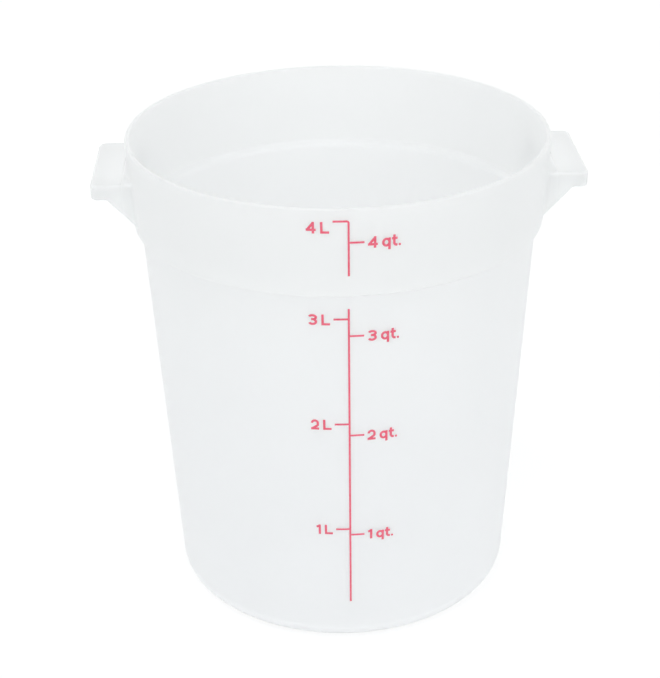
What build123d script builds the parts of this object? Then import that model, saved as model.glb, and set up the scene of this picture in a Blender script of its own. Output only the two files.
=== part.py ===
from build123d import *
import math
import os

# Round dough proofing and food storage container. The tub is one moulding of
# translucent polypropylene, with two hollow handles under its rim, and carries a
# printed litre and quart scale. Sizes are in millimetres. The origin is on the
# surface that the tub stands on, under its axis. +Z is up, the handles point
# along +X and -X, and the scale faces -Y.

# Sizes of the tub, outside unless a comment says otherwise
overall_height = 210.0
rim_radius = 89.6
wall = 2.0
floor_thickness = 2.2
rim_land_height = 5.0  # upright band below the rim that a lid grips
rim_edge_radius = 0.9
collar_height = 37.5  # from the step up to the rim
collar_taper = 1.9  # how far the collar closes in from the rim to the step
step_width = 2.8  # how far the body is set in under the collar
step_edge_radius = 1.1
ledge_fall = 1.7  # how far the step's ledge slopes down to the body, inside the tub
ledge_edge_radius = 2.5  # between that ledge and the body
body_taper = 10.1  # how far the body closes in from the step to the base
heel_radius = 8.5  # rounding between the side and the base
foot_ring_width = 4.0
foot_recess = 0.8  # how far the underside is raised inside the foot ring
gate_radius = 4.0  # round dimple where the plastic was let into the mould
gate_depth = 0.5

# Sizes of the handles
handle_width = 52.0
handle_projection = 13.5  # how far a handle stands out from the rim
handle_drop = 12.7  # from the rim down to the top of a handle
handle_lip_height = 6.6
handle_corner_radius = 3.5
handle_edge_radius = 1.0
crease_radius = 2.0  # between a handle and the collar
gusset_setback = 6.5  # level part of a gusset's lower edge, from the lip inwards
gusset_foot_gap = 3.4  # from the step up to the lower end of a gusset

# Sizes of the printed scale
ink_thickness = 0.12
line_width = 0.8
line_corner_radius = 0.7
top_mark_drop = 4.9  # from the rim down to the highest mark
line_gap_above_step = 9.4
line_gap_below_step = 6.3
line_foot_height = 21.8  # lower end of the line, above the base
tick_length = 6.0  # from the middle of the line
tick_space = 1.3  # between a tick and its figure
figure_height = 4.8
figure_stroke = 0.95
figure_sink = 0.2  # how far the middle of a label lies below its tick
figure_space = 1.65  # between a figure and its unit
letter_space = 0.45  # between the letters of a unit
small_letter_height = 3.75
tail_depth = 1.2  # how far the q reaches below the other letters
dot_radius = 0.48

# Widths of the figures and letters, as shares of the figures' height
character_width_shares = {
    "1": 0.42,
    "2": 0.69,
    "3": 0.77,
    "4": 0.79,
    "L": 0.71,
    "q": 0.70,
    "t": 0.46,
    ".": 0.20,
}
bowl_sweep = 245.0  # degrees that each half of a 3 runs round
mark_count = 4
quart_share = 0.946353  # a US quart as a share of a litre

# Heights and radii that follow from the sizes above
step_height = overall_height - collar_height
land_height = overall_height - rim_land_height
floor_height = foot_recess + floor_thickness
collar_foot_radius = rim_radius - collar_taper
body_top_radius = collar_foot_radius - step_width
base_radius = body_top_radius - body_taper
inner_heel_radius = heel_radius - wall
recess_radius = base_radius - heel_radius - foot_ring_width
handle_top = overall_height - handle_drop
lip_foot = handle_top - handle_lip_height
handle_reach = rim_radius + handle_projection
half_handle = handle_width / 2
top_mark = overall_height - top_mark_drop
half_stroke = figure_stroke / 2


def body_radius(height):
    """Outside radius of the body at a height below the step."""
    return base_radius + body_taper * height / step_height


def collar_radius(height):
    """Outside radius of the collar at a height from the step to the rim's land."""
    rise = (height - step_height) / (land_height - step_height)
    return collar_foot_radius + collar_taper * min(rise, 1)


def side_points(inset, foot, fall=0):
    """Radius and height of each corner up the tub's side, set in from the outside.

    The step's ledge can fall towards the body.
    """
    step = step_height + inset
    return [
        (body_radius(foot) - inset, foot),
        (body_radius(step - fall) - inset, step - fall),
        (collar_radius(step) - inset, step),
        (rim_radius - inset, land_height),
        (rim_radius - inset, overall_height),
    ]


def turned(*edges):
    """Solid of revolution about Z of the area that the edges close."""
    return revolve(make_face(Plane.XZ * Curve(children=edges)), Axis.Z)


def make_shell():
    """The tub without its handles: base, body, step, collar and rim."""
    underside = [
        (0, foot_recess + gate_depth),
        (gate_radius, foot_recess + gate_depth),
        (gate_radius, foot_recess),
        (recess_radius, foot_recess),
        (recess_radius, 0),
    ]
    underside_radii = [0, 0, foot_recess / 3, foot_recess / 3]
    outside = side_points(0, 0)
    rim_rounding = min(rim_edge_radius, 0.45 * wall)
    step_rounding = min(step_edge_radius, 0.45 * step_width)
    outside_radii = [heel_radius, step_rounding, step_rounding, 0, rim_rounding]
    inside = side_points(wall, floor_height, ledge_fall)[::-1]
    inside_radii = [rim_rounding, 0, step_rounding, ledge_edge_radius, inner_heel_radius]
    points = underside + outside + inside + [(0, floor_height)]
    outline = FilletPolyline(*points, radius=underside_radii + outside_radii + inside_radii)
    return turned(outline, Line(points[-1], points[0]))


def make_core():
    """Everything inside the middle of the tub's wall, which the handles are cut back to."""
    points = [(0, floor_height)] + side_points(wall / 2, floor_height) + [(0, overall_height)]
    return turned(Polyline(*points, close=True))


def upright_block(outline, half_width, corner_radius):
    """The outline in the XZ plane made solid both ways, its outer upright corners rounded."""
    block = extrude(make_face(Plane.XZ * outline), half_width, both=True)
    corners = block.edges().filter_by(Axis.Z).sort_by(Axis.X)[-2:]
    return fillet(corners, corner_radius)


def make_handle(core):
    """The handle on the +X side: a top, a lip and two gussets, open underneath."""
    root = math.sqrt((collar_foot_radius - wall / 2) ** 2 - half_handle**2)
    bend = handle_reach - gusset_setback
    gusset_foot = step_height + gusset_foot_gap
    top_and_lip = [(root, handle_top), (handle_reach, handle_top), (handle_reach, lip_foot)]
    outline = Polyline(*top_and_lip, (bend, lip_foot), (root, gusset_foot), close=True)
    block = upright_block(outline, half_handle, handle_corner_radius)
    upright = block.edges().filter_by(Axis.Z)
    at_root = block.faces().sort_by(Axis.X)[0].edges()
    at_bend = block.edges().filter_by(Axis.Y).sort_by(Axis.Z)[1:2]
    block = fillet(block.edges() - upright - at_root - at_bend, handle_edge_radius)
    hollow = Polyline(
        (root, gusset_foot - wall),
        (handle_reach - wall, gusset_foot - wall),
        (handle_reach - wall, handle_top - wall),
        (root, handle_top - wall),
        close=True,
    )
    hollow_corner = max(handle_corner_radius - wall, handle_edge_radius)
    return block - upright_block(hollow, half_handle - wall, hollow_corner) - core


def make_tub():
    """The whole moulding, the crease between each handle and the collar rounded."""
    handle = make_handle(make_core())
    tub = make_shell() + handle + handle.rotate(Axis.Z, 180)
    arcs = tub.edges().filter_by(GeomType.CIRCLE).filter_by(lambda arc: arc.radius > half_handle)
    creases = arcs.filter_by(lambda arc: abs(arc.center().Z - handle_top) < ink_thickness)
    return fillet(creases, crease_radius)


def inside_radius(height):
    """Inside radius of the tub at a height above its floor."""
    bottom, top = side_points(wall, floor_height, ledge_fall)[1:3]
    if height > top[1]:
        return collar_radius(height) - wall
    if height > bottom[1]:
        return top[0] - (top[0] - bottom[0]) * (top[1] - height) / ledge_fall
    drop = max(floor_height + inner_heel_radius - height, 0)
    rounding = inner_heel_radius - math.sqrt(inner_heel_radius**2 - drop**2)
    return body_radius(height) - wall - rounding


def filled_volume(height, slices=400):
    """Volume that the tub holds when it is filled to a height."""
    depth = (height - floor_height) / slices
    middles = [floor_height + (i + 0.5) * depth for i in range(slices)]
    return sum(math.pi * inside_radius(middle) ** 2 * depth for middle in middles)


def fill_height(volume, halvings=40):
    """Height to which a volume fills the tub, found by halving."""
    low = floor_height
    high = overall_height
    for _ in range(halvings):
        middle = (low + high) / 2
        if filled_volume(middle) < volume:
            low = middle
        else:
            high = middle
    return low


def stroke(*points, radius=0):
    """A band as wide as the figures' strokes along the points, rounded at its bends."""
    path = Line(*points) if len(points) == 2 else FilletPolyline(*points, radius=radius)
    return trace(path, figure_stroke)


def bowl(width, bottom, top, start, size):
    """An arc of an ellipse drawn with the figures' stroke, its left edge at zero."""
    centre = (width / 2, (bottom + top) / 2)
    across = (width - figure_stroke) / 2
    up = (top - bottom - figure_stroke) / 2
    arc = EllipticalCenterArc(centre, across, up, start_angle=start, arc_size=size)
    return trace(arc, figure_stroke)


def draw_one(width):
    stem = width - half_stroke
    flag = stroke((half_stroke / 2, 0.76 * figure_height), (stem, 0.88 * figure_height))
    return stroke((stem, 0), (stem, figure_height)) + flag


def draw_two(width):
    right = width - half_stroke
    top = figure_height - half_stroke
    arch = (width - figure_stroke) / 2
    arch_foot = top - arch
    bend = top - 1.9 * arch
    radii = [0.98 * arch, 0.98 * arch, 0.7 * arch]
    hook = [(half_stroke, arch_foot), (half_stroke, top), (right, top), (right, bend)]
    base = stroke((0, half_stroke), (width, half_stroke))
    return stroke(*hook, (half_stroke, half_stroke), radius=radii) + base


def draw_three(width):
    waist = 0.54 * figure_height
    upper = bowl(width, waist - half_stroke, figure_height, -90, bowl_sweep)
    lower = bowl(width, 0, waist + half_stroke, 90 - bowl_sweep, bowl_sweep)
    tongue = stroke((0.36 * width, waist), (width / 2, waist))
    return upper + lower + tongue


def draw_four(width):
    stem = 0.72 * width
    bar = 0.31 * figure_height
    top = figure_height - half_stroke
    slope = stroke((half_stroke, bar), (stem, top))
    return slope + stroke((0, bar), (width, bar)) + stroke((stem, 0), (stem, figure_height))


def draw_litre(width):
    return stroke((half_stroke, figure_height), (half_stroke, half_stroke), (width, half_stroke))


def draw_q(width):
    stem = width - half_stroke
    ring = bowl(width, 0, small_letter_height, 0, 360)
    return ring + stroke((stem, -tail_depth), (stem, small_letter_height))


def draw_t(width):
    stem = 0.42 * width
    bar = small_letter_height - half_stroke
    bend = figure_stroke
    hook = stroke((stem, figure_height), (stem, half_stroke), (width, half_stroke), radius=bend)
    return hook + stroke((0, bar), (width, bar))


def draw_dot(width):
    return Pos(width / 2, dot_radius) * Circle(dot_radius)


drawings = {
    "1": draw_one,
    "2": draw_two,
    "3": draw_three,
    "4": draw_four,
    "L": draw_litre,
    "q": draw_q,
    "t": draw_t,
    ".": draw_dot,
}


def character_width(character):
    return character_width_shares[character] * figure_height


def label_width(figure, unit):
    letters = sum(character_width(letter) for letter in unit)
    return character_width(figure) + figure_space + letters + (len(unit) - 1) * letter_space


def print_on(sketch, height, bearing, ink):
    """A flat drawing pressed onto the tub's front as ink, its middle at a bearing."""
    angle = math.radians(bearing)
    sideways = (math.cos(angle), math.sin(angle), 0)
    outwards = (math.sin(angle), -math.cos(angle), 0)
    plane = Plane(origin=(0, 0, height), x_dir=sideways, z_dir=outwards)
    return extrude(plane * sketch, rim_radius + wall) & ink


def make_label(figure, unit, left, foot, ink):
    """One label, each character square to the tub where it stands."""
    solids = []
    radius = body_radius(foot) if foot < step_height else collar_radius(foot)
    for character in figure + unit:
        width = character_width(character)
        drawing = Pos(-width / 2, 0) * drawings[character](width)
        bearing = math.degrees((left + width / 2) / radius)
        solids += print_on(drawing, foot, bearing, ink).solids()
        left += width + (figure_space if character == figure else letter_space)
    return Compound(children=solids)


def make_ink():
    """The thin layer over the tub's side that everything printed is cut from."""
    outer = side_points(-ink_thickness, 0)
    return turned(Polyline(*side_points(0, 0), *outer[::-1], close=True))


def add_ticks(drawing, ticks):
    """The line with its ticks, each a side and a height: -1 for litres and 1 for quarts."""
    for side, height in ticks:
        place = Pos(side * tick_length / 2, height)
        drawing += place * Rectangle(tick_length, line_width)
    return drawing


def make_upper_line(ticks, ink):
    """The line above the step, which turns into the highest litre tick."""
    foot = min([step_height + line_gap_above_step] + [height for side, height in ticks])
    path = FilletPolyline((-tick_length, top_mark), (0, top_mark), (0, foot), radius=line_corner_radius)
    return print_on(add_ticks(trace(path, line_width), ticks), 0, 0, ink)


def make_lower_line(ticks, ink):
    """The line below the step."""
    top = max([step_height - line_gap_below_step] + [height for side, height in ticks])
    path = Line((0, line_foot_height), (0, top))
    return print_on(add_ticks(trace(path, line_width), ticks), 0, 0, ink)


litre = filled_volume(top_mark) / mark_count
litre_heights = [fill_height(litre * n) for n in range(1, mark_count + 1)]
quart_heights = [fill_height(litre * quart_share * n) for n in range(1, mark_count + 1)]
print("a litre on the scale holds", round(litre), "cubic mm")
print("filled to the brim", round(filled_volume(overall_height)), "cubic mm")
print("litre heights", [round(height, 1) for height in litre_heights])
print("quart heights", [round(height, 1) for height in quart_heights])

ticks = [(-1, height) for height in litre_heights[:-1]] + [(1, height) for height in quart_heights]
ink = make_ink()
nodes = {
    "tub": make_tub(),
    "scale_line_upper": make_upper_line([tick for tick in ticks if tick[1] > step_height], ink),
    "scale_line_lower": make_lower_line([tick for tick in ticks if tick[1] <= step_height], ink),
}
middle_drop = figure_height / 2 + figure_sink
for n in range(1, mark_count + 1):
    figure = str(n)
    left = -(tick_length + tick_space + label_width(figure, "L"))
    drop = middle_drop if n < mark_count else figure_height + figure_sink
    foot = litre_heights[n - 1] - drop
    nodes["litre_mark_" + figure] = make_label(figure, "L", left, foot, ink)
    right = tick_length + tick_space
    foot = quart_heights[n - 1] - middle_drop
    nodes["quart_mark_" + figure] = make_label(figure, "qt.", right, foot, ink)

os.makedirs("parts", exist_ok=True)
for name, shape in nodes.items():
    export_step(shape, f"parts/{name}.step")
    print(name, "solids", len(shape.solids()), "volume", round(shape.volume, 1))
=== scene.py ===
import math

import bpy
import numpy as np
from bpy.props import FloatProperty, FloatVectorProperty, PointerProperty, StringProperty
from mathutils import Matrix, Vector


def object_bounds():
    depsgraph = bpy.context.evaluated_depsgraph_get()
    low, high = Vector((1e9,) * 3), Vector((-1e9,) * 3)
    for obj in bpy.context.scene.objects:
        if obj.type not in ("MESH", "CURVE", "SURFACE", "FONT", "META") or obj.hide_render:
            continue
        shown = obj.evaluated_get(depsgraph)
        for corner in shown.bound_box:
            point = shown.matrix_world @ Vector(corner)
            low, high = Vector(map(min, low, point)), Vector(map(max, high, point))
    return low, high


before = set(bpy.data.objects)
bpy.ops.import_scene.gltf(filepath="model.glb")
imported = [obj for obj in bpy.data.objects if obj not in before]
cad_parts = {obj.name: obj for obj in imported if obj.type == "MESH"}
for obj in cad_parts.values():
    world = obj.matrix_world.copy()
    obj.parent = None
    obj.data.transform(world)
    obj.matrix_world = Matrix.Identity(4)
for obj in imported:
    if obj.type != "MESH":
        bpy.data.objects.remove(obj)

bl_info = {
    "name": "Dough Proofing Tub",
    "version": (1, 0, 0),
    "blender": (4, 5, 0),
    "location": "View3D > Sidebar > Proofing Tub",
    "description": "Finishes a moulded food tub and its printed litre and quart scale",
    "category": "Object",
}

MM = 0.001
CAD_LOW, CAD_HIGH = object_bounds()
TUB_NODE = "tub"
LINE_NODES = ("scale_line_upper", "scale_line_lower")
VOLUMES = (1, 2, 3, 4)  # printed in litres and again in quarts
LITRE_NODES = tuple(f"litre_mark_{volume}" for volume in VOLUMES)
QUART_NODES = tuple(f"quart_mark_{volume}" for volume in VOLUMES)
WHITE = (1.0, 1.0, 1.0, 1.0)

# The plastic
POLYPROPYLENE_IOR = 1.49
SHEEN_SPREAD = 0.03  # how far the clouds move the roughness up or down
RIM_RUB = 0.5  # how much the rim is rubbed, where the handles have 1
RUB_STARTS = 3 * MM  # below the top of the rim
RUB_IS_FULL = 1 * MM  # below the top of the rim
RUB_FADE = 1 * MM  # inside and outside the rim's radius, where the handles begin

# The ink
INK_NAME = "screen_printed_ink"
INK_IOR = 1.5
THICK_AT, THIN_AT = 0.35, 0.7  # values of the noise where the ink is thickest and thinnest

# The paper on the floor
FLOOR_POINTS = 9  # along each side
UNDER_TUB = 66 * MM  # radius of the paper under the base and its foot ring
PAPER_GAP = 0.1 * MM  # between the foot ring and the paper, which never lies quite flat

# The weak lamps in the hollows of the handles
LIP_TO_LAMP = 3.1 * MM  # inwards from the outside of the handle's lip
RIM_TO_LAMP = 23 * MM  # down from the top of the rim
HANDLE_LAMP_SIZE = (6 * MM, 40 * MM)  # its height, and its length along the handle

# Directions of the softboxes, placed so that they glint on the rim as in the photograph
LEFT_SOFTBOX = (-0.25, -0.1, 0.95)
RIGHT_SOFTBOX = (0.5, -0.05, 0.9)

SENSOR_SIZE = 36  # of the camera, in millimetres as its lens is


def linear(colour):
    """An sRGB hex colour such as #A0B1C2 as linear red, green, blue and full alpha.

    Each part goes through the curve of the sRGB standard: a straight line near black,
    and a power above it.
    """
    parts = np.array([int(colour[i:i + 2], 16) for i in (1, 3, 5)]) / 255
    parts = np.where(parts <= 0.04045, parts / 12.92, ((parts + 0.055) / 1.055) ** 2.4)
    return (*parts.tolist(), 1.0)


def add_node(tree, kind, settings=None, **links):
    """Adds a node of a kind, sets its properties and fills its inputs.

    An input in use is given by its name, with _ for a space, or by _ and its number where
    two in use share a name. It takes a plain value or the output socket of another node.
    """
    node = tree.nodes.new(kind)
    for key, value in (settings or {}).items():
        setattr(node, key, value)
    for key, value in links.items():
        if key[1:].isdigit():
            socket = node.inputs[int(key[1:])]
        else:
            name = key.replace("_", " ")
            socket = next(each for each in node.inputs if each.enabled and each.name == name)
        if isinstance(value, bpy.types.NodeSocket):
            tree.links.new(value, socket)
        else:
            socket.default_value = value
    return node


def new_material(name):
    """An empty node material and its tree."""
    material = bpy.data.materials.new(name)
    material.use_nodes = True
    material.node_tree.nodes.clear()
    return material, material.node_tree


def finish_with(piece, material):
    """The piece shows this one material all over."""
    piece.data.materials.clear()
    piece.data.materials.append(material)


def rubbed_share(tree, place):
    """1 on the handles, RIM_RUB on the rim and 0 elsewhere, with a soft change between.

    What is further from the middle than the rim's radius is a handle, and what is near
    the top is the rim.
    """
    parts = add_node(tree, "ShaderNodeSeparateXYZ", Vector=place).outputs
    reach = add_node(tree, "ShaderNodeMath", {"operation": "ABSOLUTE"}, _0=parts["X"])
    on_handle = add_node(
        tree, "ShaderNodeMapRange", Value=reach.outputs[0],
        From_Min=CAD_HIGH.y - RUB_FADE, From_Max=CAD_HIGH.y + RUB_FADE,
    )
    on_rim = add_node(
        tree, "ShaderNodeMapRange", Value=parts["Z"],
        From_Min=CAD_HIGH.z - RUB_STARTS, From_Max=CAD_HIGH.z - RUB_IS_FULL, To_Max=RIM_RUB,
    )
    return add_node(
        tree, "ShaderNodeMath", {"operation": "MAXIMUM"},
        _0=on_handle.outputs["Result"], _1=on_rim.outputs["Result"],
    ).outputs[0]


def moulded_polypropylene(sizes):
    """Unpigmented polypropylene, injection moulded against a fine satin steel.

    The bulk is milky, so light that goes in comes out blurred, far along a wall or on its
    other side, and the walls glow alike on both sides. The skin has a soft sheen, a grain
    from the mould and faint clouds where the melt cooled at different rates. Lids and hands
    have rubbed the rim and the handles smoother, so their edges catch the lamps.

    The clouds have their real size. The mould's real grain, about 0.1 mm wide, is too fine
    to show, so it is drawn twelve times as coarse.
    """
    material, tree = new_material("moulded_polypropylene")
    place = add_node(tree, "ShaderNodeTexCoord").outputs["Object"]
    rubbed = rubbed_share(tree, place)
    clouds = add_node(
        tree, "ShaderNodeTexNoise", Vector=place, Scale=1 / sizes.cloud_size, Detail=3.0, Roughness=0.55
    )
    colour = add_node(
        tree, "ShaderNodeMix", {"data_type": "RGBA"}, Factor=clouds.outputs["Fac"],
        A=linear(sizes.milky_colour), B=linear(sizes.cloud_colour),
    )
    grain = add_node(tree, "ShaderNodeTexNoise", Vector=place, Scale=1 / sizes.grain_size, Detail=2.0)
    sheen = add_node(
        tree, "ShaderNodeMapRange", Value=clouds.outputs["Fac"],
        To_Min=sizes.roughness - SHEEN_SPREAD, To_Max=sizes.roughness + SHEEN_SPREAD,
    )
    gloss = add_node(
        tree, "ShaderNodeMix", {"data_type": "FLOAT"},
        Factor=rubbed, A=sheen.outputs["Result"], B=sizes.rubbed_roughness,
    )
    relief = add_node(
        tree, "ShaderNodeBump", Height=grain.outputs["Fac"], Strength=1.0, Distance=sizes.grain_depth
    )
    skin = add_node(
        tree, "ShaderNodeBsdfPrincipled", {"subsurface_method": "RANDOM_WALK"},
        Base_Color=colour.outputs[2], Roughness=gloss.outputs[0], IOR=POLYPROPYLENE_IOR,
        Subsurface_Weight=1.0, Subsurface_Scale=sizes.scatter_length,
        Subsurface_Radius=(1.0, 1.0, 1.0), Subsurface_Anisotropy=0.0,
        Normal=relief.outputs["Normal"],
    )
    add_node(tree, "ShaderNodeOutputMaterial", Surface=skin.outputs["BSDF"])
    return material


def screen_printed_ink(sizes):
    """Red two-part ink, screen printed on plastic.

    It is slightly glossy and a little uneven in density, and the weave of the screen
    leaves a faint grain in it. It is so thin that some light passes through it red,
    which shows from inside the tub.

    The patches have their real size. The screen's real threads, about 0.1 mm apart, are
    too fine to show, so the grain is drawn three times as coarse.
    """
    material, tree = new_material(INK_NAME)
    place = add_node(tree, "ShaderNodeTexCoord").outputs["Object"]
    density = add_node(
        tree, "ShaderNodeTexNoise", Vector=place, Scale=1 / sizes.patch_size, Detail=4.0, Roughness=0.6
    )
    spread = add_node(
        tree, "ShaderNodeMapRange", Value=density.outputs["Fac"], From_Min=THICK_AT, From_Max=THIN_AT
    )
    colour = add_node(
        tree, "ShaderNodeMix", {"data_type": "RGBA"}, Factor=spread.outputs["Result"],
        A=linear(sizes.full_colour), B=linear(sizes.thin_colour),
    )
    weave = add_node(tree, "ShaderNodeTexNoise", Vector=place, Scale=1 / sizes.weave_size, Detail=1.0)
    relief = add_node(
        tree, "ShaderNodeBump", Height=weave.outputs["Fac"], Strength=1.0, Distance=sizes.weave_depth
    )
    film = add_node(
        tree, "ShaderNodeBsdfPrincipled",
        Base_Color=colour.outputs[2], Roughness=sizes.roughness, IOR=INK_IOR,
        Normal=relief.outputs["Normal"],
    )
    clear = add_node(tree, "ShaderNodeBsdfTransparent", Color=linear(sizes.clear_colour))
    layer = add_node(
        tree, "ShaderNodeMixShader", _0=sizes.clear_share, _1=film.outputs[0], _2=clear.outputs[0]
    )
    add_node(tree, "ShaderNodeOutputMaterial", Surface=layer.outputs[0])
    return material


def ground_rays(tree):
    """1 for a ray that shows the background: from the camera, or by way of gloss or glass."""
    seen = add_node(tree, "ShaderNodeLightPath").outputs
    either = add_node(
        tree, "ShaderNodeMath", {"operation": "MAXIMUM"},
        _0=seen["Is Camera Ray"], _1=seen["Is Glossy Ray"],
    )
    return add_node(
        tree, "ShaderNodeMath", {"operation": "MAXIMUM"},
        _0=either.outputs[0], _1=seen["Is Transmission Ray"],
    ).outputs[0]


def paper_sweep(sizes):
    """White paper sweep, bright to the camera and plain matt white to everything else.

    Part of what the camera sees is its own light, which holds the ground at white and
    leaves the tub's soft shadow in the rest. Under the tub it also gives off the light
    that passes to and fro between paper and base, which a render's few bounces lose.
    """
    material, tree = new_material("white_paper_sweep")
    share = add_node(
        tree, "ShaderNodeMath", {"operation": "MULTIPLY"}, _0=ground_rays(tree), _1=sizes.ground_fill
    )
    paper = add_node(tree, "ShaderNodeBsdfDiffuse", Color=linear(sizes.paper_colour))
    fill = add_node(tree, "ShaderNodeEmission", Color=WHITE, Strength=sizes.fill_strength)
    both = add_node(
        tree, "ShaderNodeMixShader", _0=share.outputs[0], _1=paper.outputs[0], _2=fill.outputs[0]
    )
    place = add_node(tree, "ShaderNodeTexCoord").outputs["Object"]
    reach = add_node(tree, "ShaderNodeVectorMath", {"operation": "LENGTH"}, _0=place)
    under = add_node(
        tree, "ShaderNodeMath", {"operation": "LESS_THAN"}, _0=reach.outputs["Value"], _1=UNDER_TUB
    )
    strength = add_node(
        tree, "ShaderNodeMath", {"operation": "MULTIPLY"}, _0=under.outputs[0], _1=sizes.under_fill
    )
    glow = add_node(tree, "ShaderNodeEmission", Color=WHITE, Strength=strength.outputs[0])
    whole = add_node(tree, "ShaderNodeAddShader", _0=both.outputs[0], _1=glow.outputs[0])
    add_node(tree, "ShaderNodeOutputMaterial", Surface=whole.outputs[0])
    return material


class PlasticSettings(bpy.types.PropertyGroup):
    milky_colour: StringProperty(
        name="Milky colour", description="Colour of the plastic, as sRGB hex", default="#FFFFFF"
    )
    cloud_colour: StringProperty(
        name="Cloud colour", description="Colour of the faint clouds in it, as sRGB hex", default="#FEFFFF"
    )
    scatter_length: FloatProperty(
        name="Scatter length", description="How far light spreads inside the plastic",
        default=25 * MM, subtype="DISTANCE", unit="LENGTH",
    )
    roughness: FloatProperty(
        name="Roughness", description="How much the skin blurs a reflection", default=0.5, subtype="FACTOR"
    )
    rubbed_roughness: FloatProperty(
        name="Rubbed roughness", description="The same on the handles, and halfway to it on the rim",
        default=0.22, subtype="FACTOR",
    )
    cloud_size: FloatProperty(
        name="Cloud size", description="Width of the faint clouds",
        default=45 * MM, subtype="DISTANCE", unit="LENGTH",
    )
    grain_size: FloatProperty(
        name="Grain size", description="Width of the moulded grain, drawn coarser than the real one",
        default=1.2 * MM, subtype="DISTANCE", unit="LENGTH",
    )
    grain_depth: FloatProperty(
        name="Grain depth", description="Depth of the moulded grain",
        default=0.012 * MM, precision=6, subtype="DISTANCE", unit="LENGTH",
    )


class InkSettings(bpy.types.PropertyGroup):
    full_colour: StringProperty(
        name="Full colour", description="Colour where the ink is thick, as sRGB hex", default="#F35F7A"
    )
    thin_colour: StringProperty(
        name="Thin colour", description="Colour where the ink is thin, as sRGB hex", default="#F58298"
    )
    clear_share: FloatProperty(
        name="Clear share", description="Share of the light that passes straight through the ink",
        default=0.25, subtype="FACTOR",
    )
    clear_colour: StringProperty(
        name="Clear colour", description="Colour that this light takes on, as sRGB hex", default="#F47C96"
    )
    roughness: FloatProperty(
        name="Roughness", description="How much the ink blurs a reflection", default=0.42, subtype="FACTOR"
    )
    patch_size: FloatProperty(
        name="Patch size", description="Width of the thicker and thinner patches",
        default=1.6 * MM, subtype="DISTANCE", unit="LENGTH",
    )
    weave_size: FloatProperty(
        name="Weave size", description="Width of the screen's grain, drawn coarser than the real one",
        default=0.3 * MM, subtype="DISTANCE", unit="LENGTH",
    )
    weave_depth: FloatProperty(
        name="Weave depth", description="Depth of that grain",
        default=0.01 * MM, precision=6, subtype="DISTANCE", unit="LENGTH",
    )


class StageSettings(bpy.types.PropertyGroup):
    camera_place: FloatVectorProperty(
        name="Camera place", description="Where the lens is", size=3,
        default=(-27.3 * MM, -653.6 * MM, 441.5 * MM), subtype="TRANSLATION", unit="LENGTH",
    )
    camera_turn: FloatProperty(
        name="Camera turn", description="Heading, from along +Y towards -X",
        default=math.radians(-1.9955), subtype="ANGLE", unit="ROTATION",
    )
    camera_dip: FloatProperty(
        name="Camera dip", description="How far the camera looks down",
        default=math.radians(26.837), subtype="ANGLE", unit="ROTATION",
    )
    camera_roll: FloatProperty(
        name="Camera roll", description="Roll about the line of sight",
        default=math.radians(-0.9244), subtype="ANGLE", unit="ROTATION",
    )
    lens: FloatProperty(
        name="Lens", description="Focal length in millimetres on a sensor 36 mm high", default=86.53
    )
    floor_width: FloatProperty(
        name="Floor width", description="Side of the white floor",
        default=8.0, subtype="DISTANCE", unit="LENGTH",
    )
    paper_colour: StringProperty(
        name="Paper colour", description="Colour of the floor, as sRGB hex", default="#F2F3F4"
    )
    ground_fill: FloatProperty(
        name="Ground fill", description="Share of the floor's look that is its own light",
        default=0.7, subtype="FACTOR",
    )
    fill_strength: FloatProperty(
        name="Fill strength", description="Strength of that light, where 1 is white", default=1.1
    )
    under_fill: FloatProperty(
        name="Under fill", description="Strength of the light from the paper under the tub", default=0.2
    )
    room_light: FloatProperty(
        name="Room light", description="Strength of the even light from all sides", default=0.53
    )
    room_colour: StringProperty(
        name="Room colour", description="Colour of the room's light, as sRGB hex", default="#FDFFFF"
    )
    front_light: FloatProperty(
        name="Front light", description="Strength that is added from the front", default=1.09
    )
    back_light: FloatProperty(
        name="Back light", description="Strength that is added from behind", default=0.478
    )
    left_softbox: FloatProperty(
        name="Left softbox", description="Strength of the softbox high on the left", default=6.0
    )
    right_softbox: FloatProperty(
        name="Right softbox", description="Strength of the softbox high on the right", default=3.0
    )
    softbox_angle: FloatProperty(
        name="Softbox angle", description="From a softbox's middle to its edge, seen from the tub",
        default=math.radians(8), subtype="ANGLE", unit="ROTATION",
    )
    inside_lamp: FloatProperty(
        name="Inside lamp", description="Power of the small lamp that shines down into the tub",
        default=0.025, subtype="POWER", unit="POWER",
    )
    inside_lamp_height: FloatProperty(
        name="Inside lamp height", description="Height of that lamp above the floor",
        default=360 * MM, subtype="DISTANCE", unit="LENGTH",
    )
    inside_lamp_width: FloatProperty(
        name="Inside lamp width", description="Side of that lamp",
        default=15 * MM, subtype="DISTANCE", unit="LENGTH",
    )
    inside_lamp_spread: FloatProperty(
        name="Inside lamp spread", description="Angle of its cone, which stays within the rim",
        default=math.radians(50), subtype="ANGLE", unit="ROTATION",
    )
    inside_lamp_colour: StringProperty(
        name="Inside lamp colour", description="Colour of that lamp, as sRGB hex", default="#F6F7FF"
    )
    handle_lamp: FloatProperty(
        name="Handle lamps", description="Power of each small lamp in the hollow of a handle",
        default=0.00025, precision=6, subtype="POWER", unit="POWER",
    )


def dress(names, material):
    """CAD nodes that keep their shape, finished with a material."""
    for name in names:
        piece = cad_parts[name]
        finish_with(piece, material)


def print_scale(names, sizes):
    """Nodes of the scale, all in the one ink, which is made for the first of them."""
    ink = bpy.data.materials.get(INK_NAME) or screen_printed_ink(sizes)
    dress(names, ink)


class TUB_OT_moulding(bpy.types.Operator):
    """Finish the tub, its collar, rim and handles as one milky moulding"""

    bl_idname = "tub.moulding"
    bl_label = "Moulding"

    def execute(self, context):
        dress([TUB_NODE], moulded_polypropylene(context.scene.tub_plastic))
        return {"FINISHED"}


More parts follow.
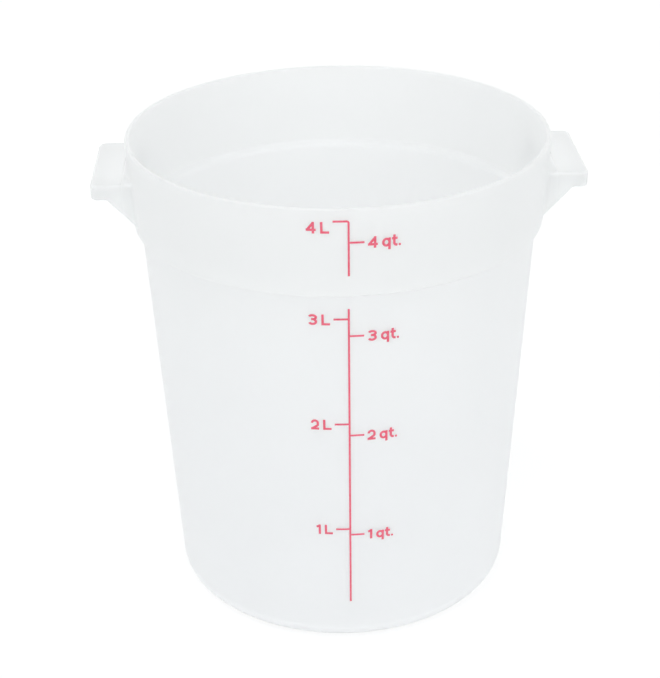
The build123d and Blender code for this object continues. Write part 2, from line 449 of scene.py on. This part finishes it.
class TUB_OT_scale_lines(bpy.types.Operator):
    """Print the two lines of the scale with their ticks"""

    bl_idname = "tub.scale_lines"
    bl_label = "Scale lines"

    def execute(self, context):
        print_scale(LINE_NODES, context.scene.tub_ink)
        return {"FINISHED"}


class TUB_OT_litre_marks(bpy.types.Operator):
    """Print the litre labels on the left of the line"""

    bl_idname = "tub.litre_marks"
    bl_label = "Litre marks"

    def execute(self, context):
        print_scale(LITRE_NODES, context.scene.tub_ink)
        return {"FINISHED"}


class TUB_OT_quart_marks(bpy.types.Operator):
    """Print the quart labels on the right of the line"""

    bl_idname = "tub.quart_marks"
    bl_label = "Quart marks"

    def execute(self, context):
        print_scale(QUART_NODES, context.scene.tub_ink)
        return {"FINISHED"}


def floor_sheet(width):
    """A level square grid, centred under the tub and PAPER_GAP below its foot ring.

    Its points run in even steps from minus half the width to half the width, both ways.
    """
    steps = np.linspace(-width / 2, width / 2, FLOOR_POINTS)
    across, along = np.meshgrid(steps, steps, indexing="ij")
    points = np.stack([across, along, np.zeros_like(across)], axis=-1).reshape(-1, 3)
    corner = np.arange(FLOOR_POINTS ** 2).reshape(FLOOR_POINTS, -1)
    quads = np.stack([corner[:-1, :-1], corner[1:, :-1], corner[1:, 1:], corner[:-1, 1:]], axis=-1)
    mesh = bpy.data.meshes.new("floor")
    mesh.from_pydata(points.tolist(), [], quads.reshape(-1, 4).tolist())
    floor = bpy.data.objects.new("floor", mesh)
    floor.location.z = -PAPER_GAP
    bpy.context.scene.collection.objects.link(floor)
    return floor


def small_lamp(name, power, place, turn, size):
    """A flat lamp that the camera doesn't see. It faces down, or is turned about Y from there."""
    lamp = bpy.data.lights.new(name, "AREA")
    lamp.shape = "RECTANGLE"
    lamp.size, lamp.size_y = size
    lamp.energy = power
    holder = bpy.data.objects.new(name, lamp)
    bpy.context.scene.collection.objects.link(holder)
    holder.location = place
    holder.rotation_euler.y = turn
    holder.visible_camera = False
    return lamp


def hollow_lamps(sizes):
    """Weak lamps for the hollows, where a render's few bounces lose light between pale walls.

    One hangs over the tub's axis and faces down, its cone kept off the rim. The others
    are in the hollows of the handles and face the tub's wall.
    """
    lamp = small_lamp(
        "inside_lamp", sizes.inside_lamp, (0, 0, sizes.inside_lamp_height), 0,
        (sizes.inside_lamp_width, sizes.inside_lamp_width),
    )
    lamp.spread = sizes.inside_lamp_spread
    lamp.color = linear(sizes.inside_lamp_colour)[:3]
    for side, name in ((-1, "left_handle_lamp"), (1, "right_handle_lamp")):
        place = (side * (CAD_HIGH.x - LIP_TO_LAMP), 0, CAD_HIGH.z - RIM_TO_LAMP)
        small_lamp(name, sizes.handle_lamp, place, side * math.pi / 2, HANDLE_LAMP_SIZE)


def room(sizes):
    """Soft light from every side, and white where the background shows.

    Elsewhere it has a faint cool tint, and its strength is an even part, plus a part for
    the front and one for the back, which shrink with the cosine of the angle from there.
    Two softboxes are added in both cases, full within half their angle and then fading out.
    """
    world = bpy.data.worlds.new("light_tent")
    world.use_nodes = True
    tree = world.node_tree
    tree.nodes.clear()
    side = add_node(tree, "ShaderNodeTexCoord").outputs["Generated"]
    parts = add_node(tree, "ShaderNodeSeparateXYZ", Vector=side).outputs
    level = sizes.room_light
    for sign, share in ((-1.0, sizes.front_light), (1.0, sizes.back_light)):
        cosine = add_node(
            tree, "ShaderNodeMath", {"operation": "MULTIPLY", "use_clamp": True}, _0=parts["Y"], _1=sign
        )
        level = add_node(
            tree, "ShaderNodeMath", {"operation": "MULTIPLY_ADD"},
            _0=cosine.outputs[0], _1=share, _2=level,
        ).outputs[0]
    strength = add_node(
        tree, "ShaderNodeMix", {"data_type": "FLOAT"}, Factor=ground_rays(tree), A=level, B=1.0
    ).outputs[0]
    for middle, share in ((LEFT_SOFTBOX, sizes.left_softbox), (RIGHT_SOFTBOX, sizes.right_softbox)):
        facing = add_node(
            tree, "ShaderNodeVectorMath", {"operation": "DOT_PRODUCT"},
            _0=side, _1=Vector(middle).normalized(),
        )
        box = add_node(
            tree, "ShaderNodeMapRange", {"interpolation_type": "SMOOTHSTEP"}, Value=facing.outputs["Value"],
            From_Min=math.cos(sizes.softbox_angle), From_Max=math.cos(sizes.softbox_angle / 2),
        )
        strength = add_node(
            tree, "ShaderNodeMath", {"operation": "MULTIPLY_ADD"},
            _0=box.outputs["Result"], _1=share, _2=strength,
        ).outputs[0]
    colour = add_node(
        tree, "ShaderNodeMix", {"data_type": "RGBA"}, Factor=ground_rays(tree),
        A=linear(sizes.room_colour), B=WHITE,
    )
    glow = add_node(tree, "ShaderNodeBackground", Color=colour.outputs[2], Strength=strength)
    add_node(tree, "ShaderNodeOutputWorld", Surface=glow.outputs[0])
    bpy.context.scene.world = world


def camera_on_stand(sizes):
    """The camera at its place, turned to its heading, dipped and rolled."""
    lens = bpy.data.cameras.new("camera")
    lens.sensor_fit = "VERTICAL"
    lens.sensor_width = lens.sensor_height = SENSOR_SIZE
    lens.lens = sizes.lens
    camera = bpy.data.objects.new("camera", lens)
    bpy.context.scene.collection.objects.link(camera)
    camera.matrix_world = (
        Matrix.Translation(sizes.camera_place)
        @ Matrix.Rotation(sizes.camera_turn, 4, "Z")
        @ Matrix.Rotation(math.pi / 2 - sizes.camera_dip, 4, "X")
        @ Matrix.Rotation(sizes.camera_roll, 4, "Z")
    )
    bpy.context.scene.camera = camera


class TUB_OT_stage(bpy.types.Operator):
    """Set up the white floor, the studio light and the camera"""

    bl_idname = "tub.stage"
    bl_label = "Stage"

    def execute(self, context):
        sizes = context.scene.tub_stage
        floor = floor_sheet(sizes.floor_width)
        finish_with(floor, paper_sweep(sizes))
        hollow_lamps(sizes)
        room(sizes)
        camera_on_stand(sizes)
        context.scene.view_settings.view_transform = "Standard"
        return {"FINISHED"}


class TUB_PT_sidebar(bpy.types.Panel):
    """Lists the tub's pieces and the stage"""

    bl_idname = "TUB_PT_sidebar"
    bl_label = "Proofing Tub"
    bl_space_type = "VIEW_3D"
    bl_region_type = "UI"
    bl_category = "Proofing Tub"

    def draw(self, context):
        for operator in OPERATORS:
            self.layout.operator(operator.bl_idname)
        for group in (context.scene.tub_plastic, context.scene.tub_ink, context.scene.tub_stage):
            box = self.layout.box()
            for name in group.__annotations__:
                box.prop(group, name)


SETTINGS = {"tub_plastic": PlasticSettings, "tub_ink": InkSettings, "tub_stage": StageSettings}
OPERATORS = (
    TUB_OT_moulding, TUB_OT_scale_lines, TUB_OT_litre_marks, TUB_OT_quart_marks, TUB_OT_stage
)


def register():
    for cls in (*SETTINGS.values(), *OPERATORS, TUB_PT_sidebar):
        bpy.utils.register_class(cls)
    for name, group in SETTINGS.items():
        setattr(bpy.types.Scene, name, PointerProperty(type=group))


def unregister():
    for name in SETTINGS:
        delattr(bpy.types.Scene, name)
    for cls in (TUB_PT_sidebar, *reversed(OPERATORS), *SETTINGS.values()):
        bpy.utils.unregister_class(cls)


def main():
    register()
    bpy.ops.tub.moulding()
    bpy.ops.tub.scale_lines()
    bpy.ops.tub.litre_marks()
    bpy.ops.tub.quart_marks()
    bpy.ops.tub.stage()


if __name__ == "__main__":
    main()
